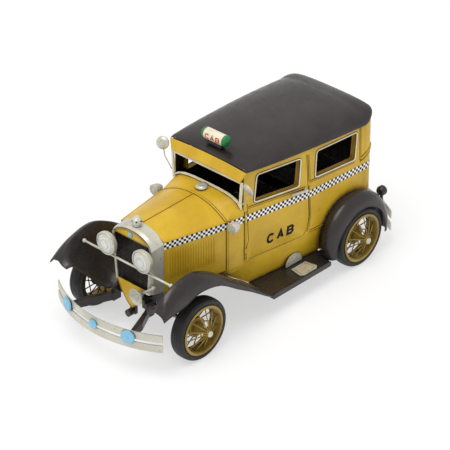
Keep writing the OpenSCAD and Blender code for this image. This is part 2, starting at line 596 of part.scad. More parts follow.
centres = gear_module * (gear_teeth + pinion_teeth) / 2;
idler_angle = 50;
flywheel_angle = 10;
idler_at = [0, axle_y - centres * cos(idler_angle), axle_z + centres * sin(idler_angle)];
flywheel_at = idler_at + [0, -centres * cos(flywheel_angle), centres * sin(flywheel_angle)];
steel = [0.55, 0.55, 0.56];
plate_x = 11.6;
motor_top = floor_top - tin;
pin_r = 1;

// Angle about +X, measured from +Y, of the line from one shaft to the next
function turn_to(a, b) = atan2(b[2] - a[2], b[1] - a[1]);
// Turning a gear by this much puts a tooth, or a gap, on a given line; teeth start on -Z
module toothed(n, line, gap, x, width, bore) rotate([line + 90 + (gap ? 180 / n : 0), 0, 0])
    gear(n, x, width, bore);

module axle_gear() color(steel) at_axle(1)
    toothed(gear_teeth, turn_to([0, axle_y, axle_z], idler_at), false, -10, 3, axle_r + 0.02);
module idler_gears() color(steel) translate(idler_at) {
    toothed(pinion_teeth, turn_to(idler_at, [0, axle_y, axle_z]), true, -10.4, 4.2, 0);
    toothed(gear_teeth, turn_to(idler_at, flywheel_at), false, -5, 3, 0);
    translate([-plate_x - 0.6, 0, 0]) point_x() cylinder(r = pin_r, h = 2 * plate_x + 1.2);
}
module flywheel() color(steel) translate(flywheel_at) {
    toothed(pinion_teeth, turn_to(flywheel_at, idler_at), true, -5.6, 4.4, 0);
    point_x() cylinder(r = flywheel_r, h = 8.5);
    translate([-plate_x - 0.6, 0, 0]) point_x() cylinder(r = pin_r, h = 2 * plate_x + 1.2);
}
module motor_frame() color(steel) {
    for (x = [-plate_x - 1, plate_x]) difference() {
        along_x(x, 1) polygon([[70.5, 34], [86, 24], [113, 20], [113, 36], [99, 47], [88, motor_top],
            [70.5, motor_top]]);
        for (p = [idler_at, flywheel_at]) translate([x - 1, p[1], p[2]]) point_x()
            cylinder(r = pin_r + running_gap, h = 3);
        translate([x - 1, axle_y, axle_z]) point_x() cylinder(r = axle_r + running_gap, h = 3);
    }
    for (p = [[71.8, 49.2], [111.5, 30]]) translate([-plate_x, p[0], p[1]]) point_x()
        cylinder(r = 1.2, h = 2 * plate_x);
}

chassis_frame();
floor_pan();
body_left();
body_right();
body_back();
cowl();
dashboard();
hood_top();
hood_left();
hood_right();
radiator_shell();
radiator_core();
radiator_panel();
radiator_cap();
front_apron();
headlamp_bar();
headlamps();
headlamp_lenses();
horn();
cowl_lamps();
gas_cap();
windshield_frame();
sun_visor();
roof_panel();
sign_tube();
sign_caps();
sign_stand();
window_trims();
door_handles();
mirrors();
front_fender_left();
front_fender_right();
rear_fender_left();
rear_fender_right();
running_boards();
splash_aprons();
step_plates();
front_bumper_bars();
rear_bumper_bars();
bumper_discs();
bumper_brackets();
tail_lamps();
seats();
steering_wheel();
motor_frame();
front_axle();
tyre_front_left();
tyre_front_right();
wheel_front_left();
wheel_front_right();
rear_axle();
tyre_rear_left();
tyre_rear_right();
wheel_rear_left();
wheel_rear_right();
hub_caps_front();
hub_caps_rear();
axle_gear();
idler_gears();
flywheel();
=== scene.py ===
import json
import math

import bmesh
import bpy
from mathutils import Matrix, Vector
from mathutils.bvhtree import BVHTree


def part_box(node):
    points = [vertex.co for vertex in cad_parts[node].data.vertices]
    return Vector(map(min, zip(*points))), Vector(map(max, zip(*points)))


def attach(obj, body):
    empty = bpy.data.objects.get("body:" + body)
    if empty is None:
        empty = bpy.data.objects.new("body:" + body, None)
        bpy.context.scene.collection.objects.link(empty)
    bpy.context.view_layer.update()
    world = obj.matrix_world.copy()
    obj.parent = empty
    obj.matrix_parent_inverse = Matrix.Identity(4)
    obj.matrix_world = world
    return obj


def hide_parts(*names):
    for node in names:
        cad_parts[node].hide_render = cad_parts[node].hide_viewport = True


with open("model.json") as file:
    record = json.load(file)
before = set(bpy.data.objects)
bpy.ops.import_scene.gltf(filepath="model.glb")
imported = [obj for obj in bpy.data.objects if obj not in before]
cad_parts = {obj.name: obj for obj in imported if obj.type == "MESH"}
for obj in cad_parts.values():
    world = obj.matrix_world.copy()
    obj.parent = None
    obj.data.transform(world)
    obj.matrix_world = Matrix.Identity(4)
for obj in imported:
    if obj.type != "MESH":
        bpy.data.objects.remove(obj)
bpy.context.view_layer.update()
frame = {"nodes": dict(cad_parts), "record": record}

NODES = frame["nodes"]
MM = 0.001
UP = Vector((0, 0, 1))


def corners(node):
    """Lowest and highest corner of a CAD node in millimetres."""
    low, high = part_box(node)
    return low / MM, high / MM


# ---- Materials ----

def srgb(r, g, b):
    """A colour given as 0 to 255 screen values, as linear light."""
    def linear(c):
        c /= 255
        return c / 12.92 if c <= 0.04045 else ((c + 0.055) / 1.055) ** 2.4
    return (linear(r), linear(g), linear(b), 1)


class Nodes:
    """Short calls for building one material's node tree."""

    def __init__(self, name):
        self.material = bpy.data.materials.new(name)
        self.material.use_nodes = True
        self.tree = self.material.node_tree
        self.shader = self.tree.nodes["Principled BSDF"]
        self.place = self.tree.nodes.new("ShaderNodeTexCoord").outputs["Object"]

    def put(self, socket, value):
        """Links an output to an input, or sets the input's own value."""
        if isinstance(value, bpy.types.NodeSocket):
            self.tree.links.new(value, socket)
        else:
            socket.default_value = value

    def set(self, **values):
        """Inputs of the main shader."""
        for key, value in values.items():
            self.put(self.shader.inputs[key.replace("_", " ")], value)

    def add(self, kind, inputs, **settings):
        """A shader node with its settings and inputs."""
        node = self.tree.nodes.new("ShaderNode" + kind)
        for key, value in settings.items():
            setattr(node, key, value)
        for key, value in inputs.items():
            self.put(node.inputs[key], value)
        return node

    def noise(self, grain_mm, detail=3, rough=0.55):
        """Noise whose features are about grain_mm across."""
        inputs = {"Vector": self.place, "Scale": 1 / (grain_mm * MM), "Detail": detail, "Roughness": rough}
        return self.add("TexNoise", inputs).outputs["Fac"]

    def ramp(self, value, low, high, out_low=0.0, out_high=1.0):
        """value from low..high mapped smoothly to out_low..out_high."""
        inputs = {"Value": value, "From Min": low, "From Max": high, "To Min": out_low, "To Max": out_high}
        return self.add("MapRange", inputs, interpolation_type="SMOOTHSTEP").outputs["Result"]

    def product(self, a, b):
        """a times b."""
        return self.add("Math", {0: a, 1: b}, operation="MULTIPLY").outputs[0]

    def mix(self, share, a, b):
        """Colour a where share is 0 and b where it is 1."""
        return self.add("Mix", {0: share, 6: a, 7: b}, data_type="RGBA").outputs[2]

    def shade_and_wash_mask(self, reach_mm, low, high):
        """Painted shade mixed with the real antique stain: 1 in corners, beside raised edges and under
        parts where ambient occlusion finds them, 0 on open surface.
        """
        shade = self.add("AmbientOcclusion", {"Distance": reach_mm * MM}, samples=6).outputs["AO"]
        return self.ramp(shade, low, high, 1.0, 0.0)

    def bump(self, height, strength, depth_mm):
        """Small relief from a height."""
        inputs = {"Height": height, "Strength": strength, "Distance": depth_mm * MM}
        return self.add("Bump", inputs).outputs["Normal"]


def paint(name, colour, shade, wash_and_shade, rough, reach=4.0, wash_and_shade_share=0.85, patch_share=0.35,
          metallic=0.0, coat=0.0, corner=(0.45, 0.93), shine=0.5):
    """Hand painted tin: slow changes of tone, smudges, brush grain, and a dark brown mix in the corners
    that is partly the real antique stain and partly painted shade from ambient occlusion.
    """
    n = Nodes(name)
    tone = n.ramp(n.noise(26, 3), 0.32, 0.7)
    base = n.mix(tone, colour, shade)
    smudge = n.ramp(n.noise(9, 5, 0.65), 0.52, 0.78, 0.0, patch_share)
    base = n.mix(smudge, base, wash_and_shade)
    broken = n.ramp(n.noise(3.5, 4), 0.2, 0.75, 0.55, 1.0)
    # Ambient occlusion darkens corners, creases and the faces under other parts: painted shade, mixed with
    # the real antique stain of the seams
    shade_and_wash = n.shade_and_wash_mask(reach, *corner)
    share = n.product(n.product(shade_and_wash, broken), wash_and_shade_share)
    n.set(Base_Color=n.mix(share, base, wash_and_shade), Normal=n.bump(n.noise(0.25, 3, 0.6), 0.25, 0.02))
    n.set(Roughness=n.ramp(n.noise(5, 4), 0.25, 0.75, rough - 0.09, rough + 0.12))
    n.set(Metallic=metallic, Coat_Weight=coat, Coat_Roughness=0.25, Specular_IOR_Level=shine)
    return n.material


BROWN = (96, 62, 16)
# By slot or finish: material name, colour, second tone, dark colour for smudges, antique stain and painted
# shade in corners, roughness, and paint()'s other values
PAINTS = {
    "mustard_paint": ("mustard", (205, 168, 42), (192, 153, 32), BROWN, 0.34,
                      {"reach": 5, "patch_share": 0.12, "corner": (0.45, 0.95), "shine": 0.32}),
    "black_paint": ("brown_black", (46, 41, 39), (36, 31, 29), (20, 15, 13), 0.27,
                    {"patch_share": 0.12, "shine": 0.42}),
    "silver_paint": ("pewter", (206, 203, 188), (188, 185, 170), (84, 78, 66), 0.34,
                     {"reach": 2.5, "metallic": 0.35}),
    "cream_paint": ("cream", (226, 219, 194), (208, 200, 172), (120, 92, 48), 0.45, {"reach": 1.5}),
    "green_paint": ("green", (24, 128, 66), (16, 108, 54), (8, 44, 24), 0.3, {"reach": 2}),
    "blue_paint": ("light_blue", (140, 196, 222), (122, 180, 210), (60, 86, 98), 0.4, {"reach": 1.5}),
    "gold_paint": ("old_gold", (164, 136, 52), (130, 104, 36), (50, 36, 12), 0.4,
                   {"reach": 4, "metallic": 0.25}),
    "tyre_rubber": ("rubber", (40, 40, 41), (31, 31, 32), (54, 50, 47), 0.5,
                    {"reach": 1.5, "patch_share": 0.3, "shine": 0.3}),
    "motor_steel": ("steel", (150, 150, 150), (120, 120, 120), (60, 54, 46), 0.35, {"metallic": 0.9}),
    "milky_lens": ("milky_lens", (211, 212, 205), (198, 199, 192), (130, 126, 114), 0.22,
                   {"reach": 2, "coat": 0.6}),
    # A darker copy of the mustard for the window reveals: painted shade
    "mustard_in_shade": ("mustard_in_shade", (176, 136, 36), (150, 112, 26), BROWN, 0.45, {"reach": 5}),
    "stain": ("stain", (82, 55, 14), (58, 37, 9), (36, 22, 6), 0.5, {"reach": 1, "shine": 0.2}),
    # Dark colour for the cabin's inner faces, the roof's underside and the wheels' backs: painted shade
    "painted_shade": ("painted_shade", (26, 20, 18), (19, 14, 13), (10, 8, 8), 0.6, {"shine": 0.2}),
    "seam": ("seam", (26, 19, 13), (20, 14, 10), (10, 8, 6), 0.6, {}),
    "grille": ("grille", (40, 35, 31), (27, 23, 21), (10, 8, 7), 0.4, {"reach": 1.5, "shine": 0.3}),
    "checker_white": ("checker_white", (244, 243, 238), (236, 234, 226), BROWN, 0.4,
                      {"reach": 1, "wash_and_shade_share": 0.2, "patch_share": 0.06}),
    "checker_black": ("checker_black", (17, 16, 16), (13, 12, 12), (26, 19, 12), 0.35,
                      {"reach": 1, "patch_share": 0.1, "shine": 0.15}),
    "letter_black": ("letter_black", (22, 19, 18), (16, 14, 14), (44, 32, 14), 0.4,
                     {"reach": 1, "patch_share": 0.2, "shine": 0.15}),
    "letter_red": ("letter_red", (206, 38, 34), (186, 30, 28), (90, 16, 12), 0.35, {"reach": 1}),
    "beige_grit": ("beige_grit", (196, 184, 152), (168, 154, 122), (92, 78, 52), 0.7, {"reach": 1}),
}


def make_materials():
    """Every paint of the car, by slot or finish."""
    made = {}
    for key, (name, colour, shade, wash_and_shade, rough, more) in PAINTS.items():
        made[key] = paint(name, srgb(*colour), srgb(*shade), srgb(*wash_and_shade), rough, **more)
    return made


def dress_cad():
    """Gives every CAD node the material of its slot."""
    for part in frame["record"]["subparts"]:
        node = NODES[part["node"]]
        node.data.materials.clear()
        node.data.materials.append(MATERIALS[part["material_slot"]])


# ---- Stage ----

def new_object(name, data):
    """An object with this data, put into the scene."""
    made = bpy.data.objects.new(name, data)
    bpy.context.scene.collection.objects.link(made)
    return made


def make_camera():
    """Stands where the photograph was taken from, as a fit to the car's paired points gave it."""
    data = bpy.data.cameras.new("camera")
    data.lens = 202.2
    data.sensor_width = 36
    data.clip_end = 10
    camera = new_object("camera", data)
    camera.location = (1.27135, -1.34731, 1.19916)
    aim = Vector((-0.0041, 0.0, 0.05625)) - camera.location
    camera.rotation_euler = aim.to_track_quat("-Z", "Y").to_euler()
    bpy.context.scene.camera = camera


def make_key_light():
    """One large round soft light, high in front of the car and turned towards its foot."""
    data = bpy.data.lights.new("key", "AREA")
    data.shape = "DISK"
    data.size = 1.4
    data.energy = 22
    light = new_object("key", data)
    light.location = (0.1, -0.7, 1.9)
    light.rotation_euler = (-light.location).to_track_quat("-Z", "Y").to_euler()


def make_stage():
    """Pale floor, white surroundings and the key light."""
    n = Nodes("studio_floor")
    n.set(Base_Color=n.mix(n.noise(400, 2), srgb(172, 172, 172), srgb(168, 168, 168)))
    n.set(Roughness=0.9, Emission_Color=(1, 1, 1, 1), Emission_Strength=0.55)
    bm = bmesh.new()
    bmesh.ops.create_grid(bm, x_segments=1, y_segments=1, size=4)
    mesh = bpy.data.meshes.new("floor")
    bm.to_mesh(mesh)
    mesh.materials.append(n.material)
    floor = new_object("floor", mesh)
    world = bpy.data.worlds.new("studio")
    world.use_nodes = True
    sky = world.node_tree.nodes["Background"].inputs
    sky["Color"].default_value = (1, 1, 1, 1)
    sky["Strength"].default_value = 0.8
    bpy.context.scene.world = world
    bpy.context.scene.view_settings.view_transform = "Standard"
    make_key_light()


# ---- Mesh building ----

class Shape:
    """Points in millimetres and faces, gathered bit by bit into one mesh."""

    def __init__(self):
        self.points = []
        self.faces = []
        self.paints = []

    def add(self, points, faces, paint_index=0):
        """More points, and faces that count from the first of them."""
        start = len(self.points)
        self.points += [Vector(p) for p in points]
        self.faces += [[start + i for i in face] for face in faces]
        self.paints += [paint_index] * len(faces)

    def grid(self, rows, wrap_rows=False, wrap_columns=False, caps=False, paint_index=0):
        """A surface through equally long rows of points."""
        m = len(rows)
        n = len(rows[0])
        faces = []
        for i in range(m if wrap_rows else m - 1):
            for j in range(n if wrap_columns else n - 1):
                a = i * n
                b = (i + 1) % m * n
                k = (j + 1) % n
                faces.append([a + j, a + k, b + k, b + j])
        if caps:
            faces.append(list(range(n)))
            faces.append([(m - 1) * n + j for j in range(n)])
        self.add([p for row in rows for p in row], faces, paint_index)

    def tube(self, path, radius, sides=8, closed=False):
        """A round rod along a path, with parallel rings."""
        path = [Vector(p) for p in path]
        count = len(path)
        rows = []
        normal = None
        for i, point in enumerate(path):
            before = path[i - 1] if closed or i else point
            after = path[(i + 1) % count] if closed or i < count - 1 else point
            along = (after - before).normalized()
            if normal is None:
                normal = along.orthogonal()
            normal = (normal - along * normal.dot(along)).normalized()
            across = along.cross(normal)
            turns = [2 * math.pi * k / sides for k in range(sides)]
            rows.append([point + radius * (normal * math.cos(t) + across * math.sin(t)) for t in turns])
        self.grid(rows, wrap_rows=closed, wrap_columns=True, caps=not closed)

    def lathe(self, profile, centre, axis=(1, 0, 0), segments=48, closed=False):
        """Turns (radius, distance along the axis) points about an axis through centre."""
        axis = Vector(axis).normalized()
        first = axis.orthogonal().normalized()
        second = axis.cross(first)
        rows = []
        for radius, along in profile:
            turns = [2 * math.pi * k / segments for k in range(segments)]
            spokes = [first * math.cos(t) + second * math.sin(t) for t in turns]
            rows.append([Vector(centre) + axis * along + s * max(radius, 0.001) for s in spokes])
        self.grid(rows, wrap_rows=closed, wrap_columns=True, caps=not closed)

    def hoop(self, radius, tube, centre, axis, segments, count=10):
        """A round ring about an axis through centre."""
        turns = [2 * math.pi * k / count for k in range(count)]
        profile = [(radius + tube * math.cos(t), tube * math.sin(t)) for t in turns]
        self.lathe(profile, centre, axis, segments, closed=True)

    def prism(self, first, second):
        """A closed solid between two outlines with the same number of points."""
        n = len(first)
        sides = [[i, (i + 1) % n, (i + 1) % n + n, i + n] for i in range(n)]
        self.add(first + second, [list(range(n)), list(range(2 * n - 1, n - 1, -1))] + sides)

    def slab(self, outlines, to_space, bottom, top):
        """Thin plates over (u, v) outlines, which to_space puts at two heights off the surface."""
        for outline in outlines:
            upper, lower = ([to_space(u, v, out) for u, v in outline] for out in (top, bottom))
            self.prism(upper, lower)

    def mirror(self):
        """Adds the same shape on the car's other side."""
        count = len(self.points)
        self.points += [Vector((-p.x, p.y, p.z)) for p in self.points]
        self.faces += [[i + count for i in reversed(face)] for face in self.faces]
        self.paints += list(self.paints)
        return self


def link(name, mesh, body, nodes=()):
    """Puts a mesh into the scene as a piece that rides on a body, in place of CAD nodes if any."""
    piece = new_object(name, mesh)
    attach(piece, body)
    if nodes:
        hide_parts(*nodes)
    return piece


def soften(piece, width_mm):
    """Rounds a piece's sharp edges."""
    bevel = piece.modifiers.new("bevel", "BEVEL")
    bevel.width = width_mm * MM
    bevel.segments = 2
    bevel.limit_method = "ANGLE"
    bevel.angle_limit = math.radians(35)
    bevel.harden_normals = True


def solid_mesh(name, shape):
    """A welded mesh of the shape, in metres, with its faces turned outwards."""
    mesh = bpy.data.meshes.new(name)
    mesh.from_pydata([p * MM for p in shape.points], [], shape.faces)
    mesh.polygons.foreach_set("material_index", shape.paints)
    bm = bmesh.new()
    bm.from_mesh(mesh)
    bmesh.ops.remove_doubles(bm, verts=bm.verts, dist=1e-7)
    bmesh.ops.recalc_face_normals(bm, faces=bm.faces)
    bm.to_mesh(mesh)
    bm.free()
    return mesh


def make(name, shape, slot, finishes=(), body="car", smooth=40, nodes=()):
    """A piece from a shape, in its slot's own paint unless other finishes are named."""
    mesh = solid_mesh(name, shape)
    for finish in finishes or [slot]:
        mesh.materials.append(MATERIALS[finish])
    mesh.shade_smooth()
    mesh.set_sharp_from_angle(angle=math.radians(smooth))
    link(name, mesh, body, nodes)


def copy_node(node):
    """A clean bmesh of a CAD node, with its points welded."""
    bm = bmesh.new()
    bm.from_mesh(NODES[node].data)
    bmesh.ops.remove_doubles(bm, verts=bm.verts, dist=2e-6)
    return bm


def skin_mesh(bm, node, slot, painted_shade):
    """The finished mesh, in the slot's paint, with a dark painted shade on the faces that the picking
    function chooses.
    """
    if painted_shade:
        for face in bm.faces:
            face.material_index = 1 if painted_shade(face.calc_center_median(), face.normal) else 0
    mesh = bpy.data.meshes.new(node + "_skin")
    bm.to_mesh(mesh)
    bm.free()
    mesh.materials.append(MATERIALS[slot])
    mesh.materials.append(MATERIALS["painted_shade"])
    mesh.shade_smooth()
    return mesh


def refine(node, slot, bevel=0.22, painted_shade=None, body="car", cutter=None):
    """A piece in place of a flat-sided CAD node, with rounded edges and the cutter's grooves."""
    bm = copy_node(node)
    bmesh.ops.dissolve_limit(bm, angle_limit=math.radians(0.4), verts=bm.verts, edges=bm.edges)
    mesh = skin_mesh(bm, node, slot, painted_shade)
    mesh.set_sharp_from_angle(angle=math.radians(40))
    piece = link(node + "_skin", mesh, body, [node])
    if cutter:
        carve(piece, cutter)
    if bevel:
        soften(piece, bevel)


def carve(piece, cutter):
    """Cuts a closed shape out of a piece."""
    tool = new_object("cutter", solid_mesh("cutter", cutter))
    cut = piece.modifiers.new("cut", "BOOLEAN")
    cut.operation = "DIFFERENCE"
    cut.solver = "EXACT"
    cut.use_self = True
    cut.object = tool
    graph = bpy.context.evaluated_depsgraph_get()
    result = bpy.data.meshes.new_from_object(piece.evaluated_get(graph))
    piece.modifiers.remove(cut)
    bpy.data.objects.remove(tool)
    piece.data = result
    result.shade_smooth()


def smooth_sheet(node, slot, painted_shade=None):
    """A piece in place of a thin pressed CAD sheet: four-sided faces, subdivided, with a crisp rim."""
    bm = copy_node(node)
    bmesh.ops.join_triangles(bm, faces=bm.faces, angle_face_threshold=math.radians(50),
                             angle_shape_threshold=math.radians(70))
    crease = bm.edges.layers.float.new("crease_edge")
    for edge in bm.edges:
        if len(edge.link_faces) == 2 and edge.calc_face_angle() > math.radians(52):
            edge[crease] = 0.8
    mesh = skin_mesh(bm, node, slot, painted_shade)
    piece = link(node + "_skin", mesh, "car", [node])
    divide = piece.modifiers.new("divide", "SUBSURF")
    divide.levels = 2
    divide.render_levels = 2


# ---- Where the CAD surfaces are ----

def tree_of(*names):
    """Ray-cast tree over CAD nodes, in millimetres."""
    points = []
    faces = []
    for name in names:
        start = len(points)
        mesh = NODES[name].data
        points += [v.co / MM for v in mesh.vertices]
        faces += [[start + i for i in p.vertices] for p in mesh.polygons]
    return BVHTree.FromPolygons(points, faces)


def hit(tree, origin, direction):
    """Point and normal where a ray first meets the tree, the normal turned to face the ray."""
    direction = Vector(direction).normalized()
    place, normal, _, _ = tree.ray_cast(Vector(origin), direction)
    if place is None:
        raise ValueError(f"no surface from {tuple(origin)} along {tuple(direction)}")
    return place, -normal if normal.dot(direction) > 0 else normal


class Wall:
    """The plan line of the upright wall, from the radiator along the left to the middle of the back."""

    def __init__(self, test_z=90, step=1.0):
        tree = tree_of("hood_left", "cowl", "body_left", "body_back")
        front = corners("hood_left")[0].y + 0.1
        seam = corners("body_left")[1].y
        back_high = corners("body_back")[1]
        radius = back_high.y - seam - 0.1 - 2.5
        pivot = Vector((back_high.x - radius, back_high.y - radius, test_z))
        rays = []
        for i in range(int((seam - front) / step)):
            rays.append((Vector((100, front + i * step, test_z)), Vector((-1, 0, 0))))
        for angle in range(0, 90, 5):
            out = Vector((math.cos(math.radians(angle)), math.sin(math.radians(angle)), 0))
            rays.append((pivot + 60 * out, -out))
        for i in range(int(pivot.x / step) + 1):
            rays.append((Vector((pivot.x - i * step, 200, test_z)), Vector((0, -1, 0))))
        self.places = []
        self.normals = []
        for origin, direction in rays:
            place, normal = hit(tree, origin, direction)
            if self.places and (place - self.places[-1]).length < 0.3:
                continue
            self.places.append(place)
            self.normals.append(normal)
        self.lengths = [0.0]
        for a, b in zip(self.places, self.places[1:]):
            self.lengths.append(self.lengths[-1] + (b - a).length)
        self.length = self.lengths[-1]
        self.seam = seam

    def find(self, s):
        """Place and normal at distance s along the line."""
        s = min(max(s, 0.0), self.length)
        i = 0
        while i < len(self.lengths) - 2 and self.lengths[i + 1] < s:
            i += 1
        t = (s - self.lengths[i]) / (self.lengths[i + 1] - self.lengths[i])
        place = self.places[i].lerp(self.places[i + 1], t)
        return place, self.normals[i].lerp(self.normals[i + 1], t).normalized()

    def at(self, s, z, out=0.0):
        """A point at distance s, height z and out from the surface."""
        place, normal = self.find(s)
        return Vector((place.x, place.y, z)) + normal * out

    def along(self, y):
        """Distance s of the side's point at this y."""
        i = 0
        while i < len(self.places) - 2 and self.places[i + 1].y < y:
            i += 1
        share = (y - self.places[i].y) / (self.places[i + 1].y - self.places[i].y)
        return self.lengths[i] + share * (self.lengths[i + 1] - self.lengths[i])

    def side(self, y, z, out=0.0):
        """A point on the long side at this y, height z and out from the surface."""
        return self.at(self.along(y), z, out)


def line(points, x):
    """Straight-line interpolation through (x, value) points."""
    if x <= points[0][0]:
        return points[0][1]
    for (x0, v0), (x1, v1) in zip(points, points[1:]):
        if x <= x1:
            return v0 + (v1 - v0) * (x - x0) / (x1 - x0)
    return points[-1][1]


def steps(a, b, count):
    """Evenly spaced values from a to b, both included."""
    return [a + (b - a) * i / count for i in range(count + 1)]


def spread(points, spacing):
    """Points along straight runs between (y, z) points, about spacing apart."""
    made = [points[0]]
    for a, b in zip(points, points[1:]):
        count = max(1, int(math.dist(a, b) / spacing))
        for i in range(1, count + 1):
            made.append((a[0] + (b[0] - a[0]) * i / count, a[1] + (b[1] - a[1]) * i / count))
    return made


def rounded(points, radius, count=5):
    """A closed (y, z) outline with its corners rounded."""
    made = []
    n = len(points)
    for i in range(n):
        here = Vector(points[i])
        back = (Vector(points[i - 1]) - here).normalized()
        ahead = (Vector(points[(i + 1) % n]) - here).normalized()
        half = math.acos(max(-1, min(1, back.dot(ahead)))) / 2
        reach = radius / math.tan(half)
        for k in range(count + 1):
            t = k / count
            a = here + back * reach
            b = here + ahead * reach
            made.append(tuple((1 - t) ** 2 * a + 2 * t * (1 - t) * here + t * t * b))
    return made


# ---- Body shell ----

# (y, z) outlines of the side windows, and lines of the door's grooves with their widths
FRONT_WINDOW = [(-13.2, 103.6), (36.4, 100.2), (38.4, 127.4), (-10.2, 129.6)]
REAR_WINDOW = [(55, 101.8), (105.4, 98.8), (107.4, 125.8), (56.6, 127.4)]
SIDE_WINDOWS = [rounded(outline, 3.2) for outline in (FRONT_WINDOW, REAR_WINDOW)]
DOOR_FRONT = [(-20.4, 105), (-18.8, 68), (-21.6, 60), (-21, 50.2)]
DOOR_REAR = [(44.4, 129), (47.2, 90), (48.8, 66), (46.9, 56), (42.6, 49.4)]
CABIN_MIDDLE = 40
DOOR_LINES = [(DOOR_FRONT, 0.7), (DOOR_REAR, 0.7), ([(-18.6, 49.9), (42, 48.95)], 0.5)]


def inward(centre, normal):
    """True on faces that look towards the upright line through the cabin's middle."""
    x = centre.x
    y = centre.y - CABIN_MIDDLE * MM
    return normal.x * x + normal.y * y < -0.3 * math.hypot(x, y)


def downward(_, normal):
    """True on faces that look down."""
    return normal.z < -0.2


# From this distance off the car's middle inwards, the wheels get the dark painted shade
WHEEL_INNER = sum(corner.x for corner in corners("tyre_front_left")) / 2 - 2.5


def wheel_back(centre, normal):
    """True on a wheel's faces that look towards the car's middle or lie on its inner half."""
    return normal.x * math.copysign(1, centre.x) < -0.25 or abs(centre.x) / MM < WHEEL_INNER


def ribbon(shape, place, path, width, top=0.04, bottom=-0.08, spacing=6):
    """A thin strip along a path of (u, v) points, which place puts at a distance off the surface."""
    path = spread(path, spacing)
    rows = []
    for i, (u, v) in enumerate(path):
        u0, v0 = path[max(i - 1, 0)]
        u1, v1 = path[min(i + 1, len(path) - 1)]
        along = Vector((u1 - u0, v1 - v0)).normalized()
        across = Vector((-along.y, along.x)) * width / 2
        rows.append([place(u + side * across.x, v + side * across.y, out)
                     for side, out in ((1, top), (1, bottom), (-1, bottom), (-1, top))])
    shape.grid(rows, wrap_columns=True, caps=True)


def door_grooves(wall):
    """The cut lines round the door and along its foot."""
    cutter = Shape()
    for path, width in DOOR_LINES:
        ribbon(cutter, wall.side, path, width, 1, -0.45)
    return cutter


def body_panels(wall):
    """The pressed shells, fenders and wheels, each in place of its CAD node."""
    cutter = door_grooves(wall)
    # The faces inside the cabin and under the roof get the dark painted shade
    refine("body_left", "mustard_paint", painted_shade=inward, cutter=cutter)
    mirrored = Shape()
    mirrored.points = [Vector((-p.x, p.y, p.z)) for p in cutter.points]
    mirrored.faces = [list(reversed(face)) for face in cutter.faces]
    mirrored.paints = cutter.paints
    refine("body_right", "mustard_paint", painted_shade=inward, cutter=mirrored)
    refine("body_back", "mustard_paint", 0, inward)
    for node in ("cowl", "hood_left", "hood_right", "radiator_panel", "front_apron"):
        refine(node, "mustard_paint", painted_shade=inward if node == "cowl" else None)
    refine("splash_aprons", "mustard_paint", 0.15)
    refine("hood_top", "mustard_paint", 0.3)
    smooth_sheet("sun_visor", "mustard_paint")
    smooth_sheet("roof_panel", "black_paint", painted_shade=downward)
    for node in ("front_fender_left", "front_fender_right", "rear_fender_left", "rear_fender_right"):
        smooth_sheet(node, "black_paint")
    for end in ("front", "rear"):
        for side in ("left", "right"):
            refine(f"wheel_{end}_{side}", "gold_paint", 0, wheel_back, end + "_wheelset")


def band_top(wall, s):
    """Height of the checker band's upper edge."""
    place, _ = wall.find(s)
    hood = corners("hood_left")
    if place.y >= wall.seam:
        return 90.3 - 0.4 * min(1, (place.y - wall.seam) / 14)
    return line([(hood[0].y, 97.3), (hood[1].y, 95.1), (45, 91.5), (wall.seam, 90.3)], place.y)


def checker_band(wall, rows=3, long=2.42, high=2.16):
    """Rows of small squares along each side, round the corners and across the back."""
    shape = Shape()
    count = int(wall.length / long)
    places = [min(k * long, wall.length) for k in range(count + 1)]
    for k in range(count):
        a = places[k]
        b = places[k + 1]
        for row in range(rows):
            quad = [wall.at(s, band_top(wall, s) - r * high, 0.14)
                    for s, r in ((a, row), (b, row), (b, row + 1), (a, row + 1))]
            shape.add(quad, [[0, 1, 2, 3]], (k + row) % 2)
    for r in (0, rows):
        edge = []
        for s in places:
            z = band_top(wall, s) - r * high
            edge.append([wall.at(s, z, 0.14), wall.at(s, z, -0.05)])
        shape.grid(edge, paint_index=1)
    shape.mirror()
    make("checker_band", shape, "cream_paint", ["checker_white", "checker_black"])


# Raised beads on each side: path of (y, z) points and radius
SIDE_BEADS = [([(-19.0, 100.9), (43, 96.9)], 0.55), ([(48.8, 100.3), (104.3, 97.3)], 0.5),
              ([(-22.4, 98), (-22.4, 50)], 0.6), ([(48.2, 96.5), (50.2, 68), (49.0, 57), (46.8, 51)], 0.35),
              ([(46.6, 127.5), (48.6, 101)], 0.5), ([(50, 50.2), (72, 49.9)], 0.6),
              ([(111.4, 129.4), (112.6, 96)], 0.45)]
# The two belt mouldings that sweep up round the back: path of (distance past BELT_START, height) and radius
BELTS = [([(0, 96.8), (4, 98.2), (8, 100), (12, 102), (17, 103.6), (24, 104.4), (63, 104.4)], 0.95),
         ([(0, 94.0), (4, 95.2), (8, 97), (12, 99), (17, 100.8), (24, 101.6), (63, 101.6)], 0.6)]
BELT_START = 112.4
SEAM_REACH = 37.9


